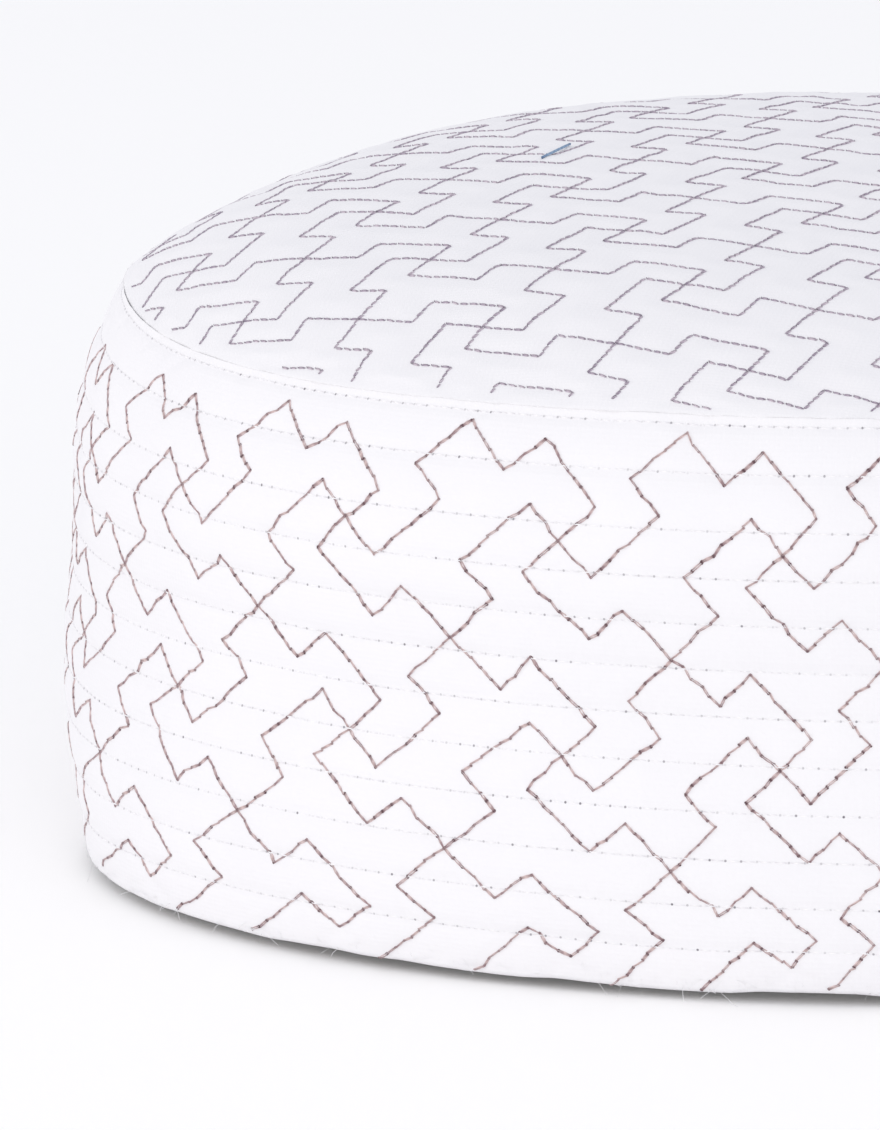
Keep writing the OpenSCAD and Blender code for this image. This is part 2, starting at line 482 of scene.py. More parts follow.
def dress(tree, shader, colour, height, strength, deepMm):
    # the shader takes the colour, and the height as a bump that many mm deep
    bump = addNode(tree, "ShaderNodeBump", [("Height", height)], Strength=strength, Distance=deepMm * mm)
    tree.links.new(colour, shader.inputs["Base Color"])
    tree.links.new(bump.outputs[0], shader.inputs["Normal"])


def weaveHeight(tree, threadMm):
    # plain weave: the mean of a sine across the warp and one across the weft, two threads to a wave, plus slubs
    uv = addNode(tree, "ShaderNodeUVMap", uv_map="cloth")
    warp, weft = [addNode(tree, "ShaderNodeTexWave", [("Vector", uv.outputs["UV"])], bands_direction=way,
                          Scale=wavePeriod / (2 * threadMm * mm), Distortion=0.6, Detail=1.0) for way in "XY"]
    cross = addNode(tree, "ShaderNodeMix", [(2, warp.outputs["Fac"]), (3, weft.outputs["Fac"])],
                    data_type="FLOAT")
    slub = addNode(tree, "ShaderNodeTexNoise", [("Vector", uv.outputs["UV"])], Scale=420.0, Detail=3.0)
    weave = addNode(tree, "ShaderNodeMath", [(0, cross.outputs[0]), (1, slub.outputs["Fac"])], operation="ADD")
    return uv, weave.outputs[0]


poplin = dict(
    colour="#EAEAED", dull="#E6E6EA",
    threadMm=0.3,                        # really about 0.2, drawn coarser so that it shows
    # the hole's colour is painted shade, the shade seen inside each needle hole
    holeMm=0.19, holeShadeColour="#6A6770",
)


def makePoplin(name, holes):
    # bleached cotton poplin, close plain weave: matt white with faint slubs, and fine needle holes where it is
    # quilted, dented in the bump and darkened with painted shade
    material, tree, shader = newMaterial(name, poplin["colour"], 0.85, 0.15)
    uv, height = weaveHeight(tree, poplin["threadMm"])
    cloud = addNode(tree, "ShaderNodeTexNoise", [("Vector", uv.outputs["UV"])], Scale=60.0, Detail=4.0)
    tone = addNode(tree, "ShaderNodeMix", [("Factor", cloud.outputs["Fac"])],
                   {6: srgb(poplin["colour"]), 7: srgb(poplin["dull"])}, data_type="RGBA")
    colour = tone.outputs[2]
    if holes:
        # distance in mm from the nearest needle hole, from stitch and row counts
        count = addNode(tree, "ShaderNodeUVMap", uv_map="stitchCount")
        parts = addNode(tree, "ShaderNodeSeparateXYZ", [(0, count.outputs["UV"])])
        toStitch, toRow = [addNode(tree, "ShaderNodeMath", [(0, parts.outputs[way])], {1: 0.5},
                                   operation="PINGPONG") for way in "XY"]
        apart = addNode(tree, "ShaderNodeCombineXYZ", [("X", toStitch.outputs[0]), ("Y", toRow.outputs[0])])
        sized = addNode(tree, "ShaderNodeVectorMath", [(0, apart.outputs[0])],
                        {1: (quilting["pitch"], quilting["gap"], 0)}, operation="MULTIPLY")
        far = addNode(tree, "ShaderNodeVectorMath", [(0, sized.outputs[0])], operation="LENGTH")
        hole = addNode(tree, "ShaderNodeMapRange", [("Value", far.outputs["Value"])],
                       interpolation_type="SMOOTHSTEP",
                       From_Min=poplin["holeMm"], From_Max=poplin["holeMm"] * 0.4)
        uneven = addNode(tree, "ShaderNodeTexNoise", [("Vector", uv.outputs["UV"])], Scale=330.0, Detail=3.0)
        gape = addNode(tree, "ShaderNodeMapRange", [("Value", uneven.outputs["Fac"])],
                       From_Min=0.4, From_Max=0.7)
        strength = addNode(tree, "ShaderNodeMath", [(0, hole.outputs[0]), (1, gape.outputs[0])],
                           operation="MULTIPLY")
        # painted shade: the cloth's colour is darkened in each needle hole, where shade falls
        holeShadePainted = addNode(tree, "ShaderNodeMix", [("Factor", strength.outputs[0]), (6, colour)],
                          {7: srgb(poplin["holeShadeColour"])}, data_type="RGBA")
        sunk = addNode(tree, "ShaderNodeMath", [(0, height), (1, hole.outputs[0])], operation="SUBTRACT")
        colour, height = holeShadePainted.outputs[2], sunk.outputs[0]
    dress(tree, shader, colour, height, 0.35, 0.06)
    return material


def makeFelt():
    # sew-in non-woven interlining: pressed fibres lying every way, so a fine cloudy surface
    material, tree, shader = newMaterial("nonWovenInterlining", "#E9E8E2", 0.95)
    place = addNode(tree, "ShaderNodeTexCoord")
    fibre = addNode(tree, "ShaderNodeTexNoise", [("Vector", place.outputs["Object"])], Scale=1600.0, Detail=5.0)
    tone = addNode(tree, "ShaderNodeMix", [("Factor", fibre.outputs["Fac"])],
                   {6: srgb("#DEDCD4"), 7: srgb("#F4F3EE")}, data_type="RGBA")
    dress(tree, shader, tone.outputs[2], fibre.outputs["Fac"], 0.5, 0.1)
    return material


diagonal = 1.4   # slanting bands lie root two further apart; with this, a rib and its groove are two ribs wide


def makeTwill(name, light, dark, ribMm):
    # cotton twill: diagonal ribs that catch a soft line of light
    material, tree, shader = newMaterial(name, light, 0.8, 0.2)
    uv = addNode(tree, "ShaderNodeUVMap", uv_map="cloth")
    rib = addNode(tree, "ShaderNodeTexWave", [("Vector", uv.outputs["UV"])], bands_direction="DIAGONAL",
                  Scale=wavePeriod / (diagonal * ribMm * mm), Distortion=0.8, Detail=1.0)
    tone = addNode(tree, "ShaderNodeMix", [("Factor", rib.outputs["Fac"])], {6: srgb(dark), 7: srgb(light)},
                   data_type="RGBA")
    dress(tree, shader, tone.outputs[2], rib.outputs["Fac"], 0.5, 0.1)
    return material


def makeThread(name, light, dark, hole, sheen, plyMm=0.42):
    # mercerised two-ply cotton thread: slanting plies with a soft lustre, painted light and dark by ply as
    # light falls on the twist, varied at random from stitch to stitch, and painted shade where it dives into a
    # needle hole (painted light in the crown's copy)
    material, tree, shader = newMaterial(name, light, 0.55, sheen)
    uv = addNode(tree, "ShaderNodeUVMap", uv_map="thread")
    ply = addNode(tree, "ShaderNodeTexWave", [("Vector", uv.outputs["UV"])], bands_direction="DIAGONAL",
                  Scale=wavePeriod / (diagonal * plyMm * mm), Distortion=0.5, Detail=1.0)
    shade = addNode(tree, "ShaderNodeAttribute", attribute_name="shade")
    mixed = addNode(tree, "ShaderNodeMath", [(0, ply.outputs["Fac"]), (1, shade.outputs["Fac"])],
                    operation="ADD")
    halved = addNode(tree, "ShaderNodeMapRange", [("Value", mixed.outputs[0])], From_Min=0.2, From_Max=1.8)
    tone = addNode(tree, "ShaderNodeMix", [("Factor", halved.outputs[0])], {6: srgb(dark), 7: srgb(light)},
                   data_type="RGBA")
    needle = addNode(tree, "ShaderNodeAttribute", attribute_name="needle")
    # painted shade at the needle-hole ends of each stitch (painted light in the crown's copy)
    deep = addNode(tree, "ShaderNodeMix", [("Factor", needle.outputs["Fac"]), (6, tone.outputs[2])],
                   {7: srgb(hole)}, data_type="RGBA")
    dress(tree, shader, deep.outputs[2], ply.outputs["Fac"], 0.6, 0.08)
    return material


quiltedPoplin = makePoplin("bleachedPoplinQuilted", holes=True)
crownPoplin = makePoplin("bleachedPoplinCrown", holes=False)
liningPoplin = makePoplin("bleachedLining", holes=True)
plainLining = makePoplin("bleachedCrownLining", holes=False)
felt = makeFelt()
twill = makeTwill("brushedTwill", "#EFEDE8", "#DAD7D0", 0.7)
tape = makeTwill("cottonBiasTape", "#F2F2F2", "#DFDFE2", 0.5)
# light and dark of the plies as painted light and shade, the painted shade where the thread dives into a needle
# hole, and the sheen
whiteThread = makeThread("whiteSewingThread", "#F0F0F2", "#E3E3E8", "#C9C6CC", 0.2)
taupeThread = makeThread("taupeEmbroideryThread", "#D6C2C1", "#A68E92", "#563C43", 0.15)
# painted shade: the band's taupe thread again, drawn darker and bluer for the light on the crown, with painted
# light at its needle-hole ends
crownThreadShadedCopy = makeThread("taupeEmbroideryThreadCrownShaded", "#C0B5C0", "#8E8296", "#AFA5B0", 0.15)
blueThread = makeThread("steelBlueTackingThread", "#86A0BC", "#5F7FA3", "#4A6796", 0.15)
print("materials made")

# mesh building

def gridFaces(rows, columns):
    # quads of a grid closed in its second direction: point number is row * columns + column, once with the
    # last column joined to the first, and once unrolled with a column more, for UV values
    i, j = np.meshgrid(np.arange(rows - 1), np.arange(columns), indexing="ij")
    i, j, k = i.ravel(), j.ravel(), (j.ravel() + 1) % columns
    welded = np.stack([i * columns + j, i * columns + k, (i + 1) * columns + k, (i + 1) * columns + j], -1)
    wide = columns + 1
    unrolled = np.stack([i * wide + j, i * wide + j + 1, (i + 1) * wide + j + 1, (i + 1) * wide + j], -1)
    return welded, unrolled


def putMesh(name, points, faces, material, maps=None, values=None):
    # points in mm go into a mesh in metres; maps are UV values for each face corner, and values are numbers
    # for each point
    mesh = bpy.data.meshes.new(name)
    mesh.from_pydata((np.asarray(points) * mm).tolist(), [], [f for part in faces for f in part.tolist()])
    for label, corners in (maps or {}).items():
        layer = mesh.uv_layers.new(name=label)
        layer.data.foreach_set("uv", np.asarray(corners, np.float32).ravel())
    for label, numbers in (values or {}).items():
        attribute = mesh.attributes.new(label, "FLOAT", "POINT")
        attribute.data.foreach_set("value", np.asarray(numbers, np.float32).ravel())
    mesh.polygons.foreach_set("use_smooth", np.ones(len(mesh.polygons), bool))
    mesh.materials.append(material)
    mesh.update()
    piece = bpy.data.objects.new(name, mesh)
    bpy.context.scene.collection.objects.link(piece)
    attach(piece, "root")
    return piece


def closedSheet(name, shape, s, across, material, rowsToo=None):
    # a cloth grid that runs once round the cap: `shape(s, across)` gives its points, and its UV is the cloth
    # unrolled, in metres
    gridAcross, gridS = np.meshgrid(across, s, indexing="ij")
    points = shape(gridS, gridAcross).reshape(-1, 3)
    welded, unrolled = gridFaces(len(across), len(s))
    uvS, uvV = np.meshgrid(np.append(s, girth), across, indexing="xy")
    maps = {"cloth": (np.stack([uvS, uvV], -1).reshape(-1, 2) * mm)[unrolled].reshape(-1, 2)}
    if rowsToo is not None:
        maps["stitchCount"] = rowsToo(uvS, uvV).reshape(-1, 2)[unrolled].reshape(-1, 2)
    return putMesh(name, points, [welded], material, maps)


def stitchCounts(s, arc):
    # stitches counted along the row, s / pitch + phase * row, and rows counted down from the edge stitching;
    # half a row, so no hole, round the hem's fold
    row, _ = rowCoordinate(s, np.clip(arc, 0, None))
    stitches = s / quilting["pitch"] + quilting["phase"] * np.round(row)
    return np.stack([stitches, np.where(arc < 0.5, 0.5, row)], -1)


bandGrid = dict(columns=700, wallRows=114, topRows=12, foldRows=9, turnRows=6)


def hemSection(across):
    # across < 0 walks round the hem's fold and up inside: depth r (1 - cos) and drop r sin of the angle walked;
    # gives arc, depth and drop below the arc
    r, turn = cap["foldRadius"], math.pi * cap["foldRadius"]
    angle = np.clip(-across / r, 0, math.pi)
    arc = np.where(across >= 0, across + r, np.maximum(r, r + (-across - turn)))
    depth = np.where(across >= 0, 0, r * (1 - np.cos(angle)))
    return arc, depth, np.where(across >= 0, 0, r * np.sin(angle))


def bandShape(s, across):
    # the wall's point at that arc, out by relief - depth, and down by the drop; the relief dies out as the
    # fold goes in, and the fold's edge is a little frayed
    arc, depth, drop = hemSection(across)
    bumps = wallRelief(s, arc) * np.clip(1 - depth / 0.6, 0, 1)
    bumps += hem["fray"] * softNoise(s, 0 * s, hem["fraySize"], 51, girth) * np.exp(-np.abs(across) / 0.8)
    points = wallPoint(s, arc, bumps - depth)
    points[..., 2] -= drop * (1 + 0 * s)
    return points


s = np.linspace(0, girth, bandGrid["columns"] + 1)[:-1]
turnLength = math.pi * cap["foldRadius"]
across = np.concatenate([
    np.linspace(-turnLength - cap["turnUp"], -turnLength, bandGrid["turnRows"], endpoint=False),
    np.linspace(-turnLength, 0, bandGrid["foldRows"], endpoint=False),
    np.linspace(0, cap["wallLength"] - cap["foldRadius"] - 3, bandGrid["wallRows"], endpoint=False),
    np.linspace(-3, 0, bandGrid["topRows"]) + cap["wallLength"] - cap["foldRadius"],
])
bandCloth = closedSheet("bandCloth", bandShape, s, across, quiltedPoplin,
                        lambda s, across: stitchCounts(s, hemSection(across)[0] * (across > 0)))
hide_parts("band_shell")
print("band cloth", len(bandCloth.data.polygons), "faces")

crownGrid = dict(
    columns=640, rings=138, lipRings=9,
    fineShare=0.04, fineRings=1 / 12,   # the last of the way to the seam, and the share of rings spent on it
)


def crownMesh(name, rings, columns, out, material, lipRings=0):
    # rings spaced evenly along the cloth from the middle to the seam, finer near it, then the allowance turned
    # down inside: depth grows as 1 - exp(-walked)
    s = np.linspace(0, girth, columns + 1)[:-1]
    rim = wallPoint(s, 0 * s + cap["wallLength"], 0 * s)
    angle = np.arctan2(rim[:, 1], rim[:, 0])
    edge = np.hypot(rim[:, 0], rim[:, 1])
    flatEdge = edge + slackAt(edge)
    nearEdge, fine = int(rings * crownGrid["fineRings"]), crownGrid["fineShare"]
    share = np.concatenate([np.arange(1, rings - nearEdge + 1) / (rings - nearEdge) * (1 - fine),
                            1 - fine + fine * np.arange(1, nearEdge + 1) / nearEdge])[:, None]
    flatX, flatY = share * flatEdge * np.cos(angle), share * flatEdge * np.sin(angle)
    points = crownPoint(flatX, flatY, out(flatX, flatY))
    uvX, uvY = flatX, flatY
    if lipRings:
        walked = np.linspace(0, cap["crownAllowance"] + 1.5, lipRings + 1)[1:, None]
        level = np.exp(-walked / 0.8)
        depth = layerDepth["turned"] * (1 - level) + relief["seamGroove"] * level
        arc = cap["wallLength"] - np.maximum(walked - 1.2, 0.25 * walked)
        lip = wallPoint(s[None, :] + 0 * arc, arc + 0 * s[None, :], -depth + 0 * s[None, :])
        points = np.concatenate([points, lip])
        uvX = np.concatenate([uvX, (flatEdge + walked) * np.cos(angle)])
        uvY = np.concatenate([uvY, (flatEdge + walked) * np.sin(angle)])
    middle = crownPoint(np.zeros(1), np.zeros(1), out(np.zeros(1), np.zeros(1)))
    welded, _ = gridFaces(rings + lipRings, columns)
    welded = welded[:, ::-1] + 1
    around = np.arange(columns)
    fan = np.stack([0 * around, around + 1, (around + 1) % columns + 1], -1)
    allPoints = np.concatenate([middle, points.reshape(-1, 3)])
    uv = np.concatenate([[[0, 0]], np.stack([uvX, uvY], -1).reshape(-1, 2)]) * mm
    corners = np.concatenate([uv[welded].reshape(-1, 2), uv[fan].reshape(-1, 2)])
    return putMesh(name, allPoints, [welded, fan], material, {"cloth": corners})


crownCloth = crownMesh("crownCloth", crownGrid["rings"], crownGrid["columns"], crownRelief, crownPoplin,
                       crownGrid["lipRings"])
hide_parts("crown_shell", "crown_seam_allowance")
print("crown cloth", len(crownCloth.data.polygons), "faces")

# inner layers

inner = dict(
    columns=288, bandRows=44, liningRows=120, sweatbandRows=40, tapeRows=9, crownRings=50,
    sweatbandHeight=27, sweatbandThick=0.45,
    tapeFrom=8.1, tapeTo=0.6, tapeThick=0.35,   # mm down from the crown seam
    low=1.2,                                    # mm that the layers stay over the hem's fold
)
s = np.linspace(0, girth, inner["columns"] + 1)[:-1]


def innerRelief(s, arc, share):
    # the quilting pulls every layer in, less deeply inside: share (0.12 - 0.2 exp(-(row / 0.8)^2)) and creases
    _, wandering = rowCoordinate(s, arc)
    nearRow = np.min(np.abs(wandering[..., None] - rowArcs), -1)
    return share * (0.12 - 0.2 * np.exp(-(nearRow / 0.8)**2)) + 0.08 * softNoise(s, arc, 12, 33, girth)


def wallLayer(name, depth, low, high, rows, material, share=0.5, rowsToo=None):
    # a strip of the wall from arc low to arc high, set in by depth
    across = np.linspace(low, high, rows)

    def strip(s, arc):
        # the wall's point, out by the inner relief - depth
        return wallPoint(s, arc, -depth + innerRelief(s, arc, share))

    return closedSheet(name, strip, s, across, material, rowsToo)


def faceInwards(piece):
    # turns every face over, for cloth that is seen from inside the cap
    piece.data.flip_normals()
    return piece


top = cap["wallLength"]
bandFelt = wallLayer("bandInterlining", layerDepth["felt"], inner["low"], top - 0.4, inner["bandRows"], felt)
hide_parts("band_interlining")
bandLining = faceInwards(wallLayer("bandLining", layerDepth["lining"], inner["low"], top - 0.6,
                                   inner["liningRows"], liningPoplin, 0.8, stitchCounts))
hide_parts("band_lining")
sweatband = faceInwards(wallLayer("sweatbandStrip", layerDepth["sweatband"], inner["low"] + 0.2,
                                  inner["low"] + 0.2 + inner["sweatbandHeight"], inner["sweatbandRows"], twill,
                                  0.3))
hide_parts("sweatband")
seamTape = faceInwards(wallLayer("seamTape", layerDepth["tape"], top - inner["tapeFrom"], top - inner["tapeTo"],
                                 inner["tapeRows"], tape, 0.2))
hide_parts("crown_seam_binding")
for piece, thick in ((sweatband, inner["sweatbandThick"]), (seamTape, inner["tapeThick"])):
    solid = piece.modifiers.new("thickness", "SOLIDIFY")
    solid.thickness, solid.offset = thick * mm, -1


def underCrown(depth):
    # a layer under the outer cloth: half its relief - depth, where the layers crowd together to 0.6 of the
    # depth over the last 4 mm before the seam
    return lambda x, y: -depth * (0.6 + 0.4 * np.clip(edgeGap(x, y) / 4, 0, 1)) + 0.5 * crownRelief(x, y)


crownFelt = crownMesh("crownInterlining", inner["crownRings"], inner["columns"], underCrown(layerDepth["felt"]),
                      felt)
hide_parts("crown_interlining")
crownLining = faceInwards(crownMesh("crownLining", inner["crownRings"], inner["columns"],
                                    underCrown(layerDepth["lining"]), plainLining))
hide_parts("crown_lining")
print("inner layers made")

# stitches

def onWall(p, out):
    # on the outer cloth, and below it round the hem's fold: (r + out) times the cosine out and the sine down
    s, arc, r = p[..., 0], p[..., 1], cap["foldRadius"]
    turned = np.clip((r - arc) / r, 0, math.pi)
    points = wallPoint(s, np.maximum(arc, r), wallRelief(s, arc) - r + (r + out) * np.cos(turned))
    points[..., 2] -= (r + out) * np.sin(turned)
    return points


def onQuilted(p, out):
    # the same, lifted over the embroidery where a row crosses it: 0.8 height exp(-(thread / 0.3)^2)
    u, v = wallToLattice(p[..., 0], p[..., 1])
    thread = threadDistance((u + v) / 2, (v - u) / 2, halfRepeat, halfRise)
    return onWall(p, out + 0.8 * embroidery["height"] * np.exp(-(thread / 0.3)**2))


def onLining(p, out):
    # inside the cap, so out counts inwards from the lining
    return wallPoint(p[..., 0], p[..., 1], -layerDepth["lining"] + innerRelief(p[..., 0], p[..., 1], 0.8) - out)


def onSweatband(p, out):
    # and from the sweatband
    return wallPoint(p[..., 0], p[..., 1],
                     -layerDepth["sweatband"] + innerRelief(p[..., 0], p[..., 1], 0.3) - out)


def onCrown(p, out):
    # on the crown's outer cloth, relief and all
    return crownPoint(p[..., 0], p[..., 1], crownRelief(p[..., 0], p[..., 1]) + out)


def stitchPoints(start, end, surface, ring, profile, height, lift=0.0, loose=0.0, slant=0.0):
    # each stitch is a profile carried from hole to hole: point = start + along * share + side * (profile's
    # width * width share + askew), up = profile's height * height share * height + lift.
    # `ring` is (share of the way, width share, height share); `loose` makes some wider, lays them a little
    # askew, and parts the two plies; `slant` lays them all askew the same way, in mm from hole to hole
    ring, profile = np.array(ring), np.array(profile)
    rng = np.random.default_rng(len(start))
    width = (1 + loose * rng.uniform(-0.5, 0.5, len(start)))[:, None, None, None]
    askew = slant + 0.25 * loose * rng.uniform(-1, 1, len(start))[:, None, None, None]
    askew = askew * (0.5 - ring[None, :, None, :1])
    parted = 1.6 * loose * rng.uniform(-1, 1, len(start))[:, None, None] * (np.abs(profile[:, 0]) < 0.01)
    along = end - start
    length = np.linalg.norm(along, axis=-1, keepdims=True)
    side = np.stack([-along[:, 1], along[:, 0]], -1) / length
    p = (start[:, None, None] + along[:, None, None] * ring[None, :, None, :1]
         + side[:, None, None] * (profile[None, None, :, :1] * ring[None, :, None, 1:2] * width + askew))
    up = (profile[None, None, :, 1] - np.maximum(parted, 0)) * ring[None, :, None, 2] * height + lift
    uv = np.stack(np.broadcast_arrays(ring[None, :, None, 0] * length[:, None], profile[None, None, :, 0]), -1)
    return surface(p, up), uv


def stitchMesh(name, points, uv, ring, material, flip=False):
    # joins many stitches, each a small grid, into one piece; `needle`, how much painted needle-hole shade a
    # point takes (painted light in the crown thread), is (near - share of the way from a hole) / fade, from 0
    # to 1, times a random share for each stitch, and `shade` tells one stitch from the next
    count, rings, sides = points.shape[:3]
    i, j = np.meshgrid(np.arange(rings - 1), np.arange(sides - 1), indexing="ij")
    i, j = i.ravel(), j.ravel()
    one = np.stack([i * sides + j, (i + 1) * sides + j, (i + 1) * sides + j + 1, i * sides + j + 1], -1)
    if flip:
        one = one[:, ::-1]
    faces = (one[None] + (np.arange(count) * rings * sides)[:, None, None]).reshape(-1, 4)
    corners = (uv.reshape(-1, 2) * mm)[faces].reshape(-1, 2)
    rng = np.random.default_rng(count)
    near, fade = sewing["holeNear"], sewing["holeFade"]
    ends = np.clip((near - np.minimum(ring[:, 0], 1 - ring[:, 0])) / fade, 0, 1)
    needle = ends[None, :, None] * rng.uniform(0, 1, count)[:, None, None] + np.zeros((count, rings, sides))
    shade = rng.uniform(0, 1, count)[:, None, None] + np.zeros((count, rings, sides))
    return putMesh(name, points.reshape(-1, 3), [faces], material, {"thread": corners},
                   {"needle": needle, "shade": shade})


sewing = dict(
    height=0.1, gapShare=0.09,       # of a machine stitch, and how far it ends from its holes
    holeNear=0.21, holeFade=0.15,    # shares of a stitch's way that take the painted needle-hole shade
)
embroidery = dict(
    height=0.14, crownHeight=0.13, lift=0.04,
    loose=0.6, slant=0.05, crownSlant=0.16,
    wobble=0.2, jitter=0.25, crownJitter=0.15,   # mm that the needle strays, slowly and from hole to hole
    hemGap=-0.4,                                 # arc of the lowest stitch, a little round the fold
    top=-1.01, bottomAcross=4.01, bottomDeep=4.31,   # where the lines end, in half rises down
    lastRow=4,
)
# two plies side by side, seen from above as two soft ridges: (mm across, share of the height)
twoPly = [(-0.17, -0.8), (-0.15, 0.6), (-0.09, 1.0), (0, -0.1), (0.09, 1.0), (0.15, 0.6), (0.17, -0.8)]
stitchRing = np.array([(-0.06, 0.7, 0.2), (0.05, 1, 0.8), (0.17, 0.75, 0.8), (0.5, 1, 1), (0.83, 0.75, 0.8),
                       (0.95, 1, 0.8), (1.06, 0.7, 0.2)])
crownRing = np.array([(0.06, 0.3, -1.5), (0.14, 0.7, -0.2), (0.27, 0.95, 0.9), (0.5, 1, 1), (0.73, 0.95, 0.9),
                      (0.86, 0.7, -0.2), (0.94, 0.3, -1.5)])


def latticeStitches(line, cells, unit, stitch):
    # needle holes evenly along each side of the stepped line, corner + side * k / n, an even n across the
    # crossing so that one falls on it, then the same for every cell
    starts, ends, sideOf = [], [], []
    for k in range(6):
        a, b = line[k], line[k + 1]
        n = max(1, int(round(np.hypot(*(b - a)) * unit / stitch)))
        n += n % 2 if k == 0 else 0
        f = np.arange(n)[:, None] / n
        starts.append(a + (b - a) * f)
        ends.append(a + (b - a) * (f + 1 / n))
        sideOf.append(np.full(n, k))
    starts, ends, sideOf = np.concatenate(starts), np.concatenate(ends), np.concatenate(sideOf)
    start = (cells[:, None] + starts[None]).reshape(-1, 2)
    end = (cells[:, None] + ends[None]).reshape(-1, 2)
    return start, end, np.tile(sideOf, len(cells)), np.repeat(cells.sum(1), len(sideOf))


def bandCells():
    # crossings round the band as (s, t) = ((u + v) / 2, (v - u) / 2), on every other whole u and v
    v, u = np.meshgrid(2 * np.arange(-1, 4), 2 * np.arange(-11, 11), indexing="ij")
    return np.stack([(u + v).ravel() // 2, (v - u).ravel() // 2], -1)


def shaken(p, seed, jitter):
    # needle holes stray a little from the drawn line: point + wobble * slow noise + jitter * fast noise
    x, y = p[..., 0], p[..., 1]
    wobble = embroidery["wobble"]
    strayX = wobble * softNoise(x, y, 6.3, seed) + jitter * softNoise(x, y, 0.7, seed + 1)
    strayY = wobble * softNoise(x, y, 6.1, seed + 2) + jitter * softNoise(x, y, 0.8, seed + 3)
    return p + np.stack([strayX, strayY], -1)


def embroiderBand(name, line, deep):
    # one family of lines: its lattice stitches between the top and the bottom, laid on the wall and shaken
    start, end, sideOf, cellSum = latticeStitches(line, bandCells(), bandLattice["unit"], motif["stitch"])
    vStart, vEnd = start.sum(1), end.sum(1)
    bottom = embroidery["bottomDeep"] if deep else embroidery["bottomAcross"]
    keep = (np.minimum(vStart, vEnd) > embroidery["top"]) & (np.maximum(vStart, vEnd) < bottom)
    if deep:   # the last row's line does not come back up from the hem
        upwards = start[:, 0] - np.round(start[:, 0]) > 0.01
        keep &= ~((cellSum == embroidery["lastRow"]) & (sideOf == 0) & upwards)
    ends = [np.stack(latticeToWall(p[keep, 0] - p[keep, 1], p[keep].sum(1)), -1) for p in (start, end)]
    ends = [shaken(p, 61, embroidery["jitter"]) for p in ends]
    above = np.minimum(ends[0][:, 1], ends[1][:, 1]) > embroidery["hemGap"]
    points, uv = stitchPoints(ends[0][above], ends[1][above], onWall, stitchRing, twoPly, embroidery["height"],
                              embroidery["lift"], embroidery["loose"], embroidery["slant"])
    piece = stitchMesh(name, points, uv, stitchRing, taupeThread)
    print(name, above.sum(), "stitches")
    return piece


def embroiderCrown(name, line):
    # one family of lines: its lattice stitches in every second cell, as far as the crown seam, shaken
    i, j = np.meshgrid(np.arange(-12, 13), np.arange(-12, 13), indexing="ij")
    cells = np.stack([i.ravel(), j.ravel()], -1)
    cells = cells[cells.sum(1) % 2 == 0]
    start, end, _, _ = latticeStitches(line, cells, crownLattice["pitch"], motif["crownStitch"])
    ends = [np.stack(latticeToCrown(p[:, 0], p[:, 1]), -1) for p in (start, end)]
    keep = (edgeGap(*ends[0].T) > crownLattice["endGap"]) & (edgeGap(*ends[1].T) > crownLattice["endGap"])
    ends = [shaken(p[keep], 71, embroidery["crownJitter"]) for p in ends]
    points, uv = stitchPoints(ends[0], ends[1], onCrown, crownRing, twoPly, embroidery["crownHeight"],
                              embroidery["lift"], embroidery["loose"], embroidery["crownSlant"])
    piece = stitchMesh(name, points, uv, crownRing, crownThreadShadedCopy)
    print(name, keep.sum(), "stitches")
    return piece


acrossLine, deepLine = motifLines()
bandThreads = [embroiderBand("bandEmbroideryAcross", acrossLine, False),
               embroiderBand("bandEmbroideryDeep", deepLine, True)]
crownThreads = [embroiderCrown("crownEmbroideryAcross", acrossLine),
                embroiderCrown("crownEmbroideryDeep", deepLine)]

onePly = [(-0.1, -0.6), (-0.06, 0.8), (0, 1.0), (0.06, 0.8), (0.1, -0.6)]
rowRing = np.array([(0, 0.5, -0.4), (0.15, 0.9, 0.7), (0.5, 1, 1), (0.85, 0.9, 0.7), (1, 0.5, -0.4)])


def seamRow(arc, pitch, phase, surface, wander):
    # stitches evenly round the cap, (k - phase) girth / count, each short of its holes; the row's own wander,
    # arc - wander * noise, comes by repeated correction
    count = int(round(girth / pitch))
    first = (np.arange(count) - phase) * girth / count
    ends = []
    for x in (first + sewing["gapShare"] * pitch, first + (1 - sewing["gapShare"]) * pitch):
        y = 0 * x + arc
        for turn in range(4):
            y = arc - wander * softNoise(x, y, quilting["wanderSize"], 21, girth)
        ends.append(np.stack([x, y], -1))
    return stitchPoints(ends[0], ends[1], surface, rowRing, onePly, sewing["height"])


for k, arc in enumerate(rowArcs):
    name = "edgeStitches" if k == 0 else "quiltingRow%02d" % k
    phase = quilting["phase"] * k % 1
    points, uv = seamRow(arc, quilting["pitch"], phase, onWall if k == 0 else onQuilted, quilting["wander"])
    piece = stitchMesh(name, points, uv, rowRing, whiteThread)
    points, uv = seamRow(arc, quilting["pitch"], phase + 0.5, onLining, quilting["wander"])
    stitchMesh(name + "Inside", points, uv, rowRing, whiteThread, flip=True)
    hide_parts("crown_edge_stitching" if k == 0 else "quilting_row_%02d" % k)

sweatRow = dict(arc=5.2, stitches=240, phase=0.2)
points, uv = seamRow(sweatRow["arc"], girth / sweatRow["stitches"], sweatRow["phase"], onSweatband, 0)
sweatStitches = stitchMesh("sweatbandStitches", points, uv, rowRing, whiteThread, flip=True)
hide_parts("sweatband_stitching")

backRow = dict(endGap=4, pitch=2.5, stitch=2.1)
backArcs = np.arange(backRow["endGap"], cap["wallLength"] - backRow["endGap"], backRow["pitch"])
start = np.stack([0 * backArcs + girth / 2, backArcs], -1)
points, uv = stitchPoints(start, start + (0, backRow["stitch"]), onWall, rowRing, onePly, sewing["height"])
backStitches = stitchMesh("backSeamStitches", points, uv, rowRing, whiteThread)
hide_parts("back_seam_stitching")

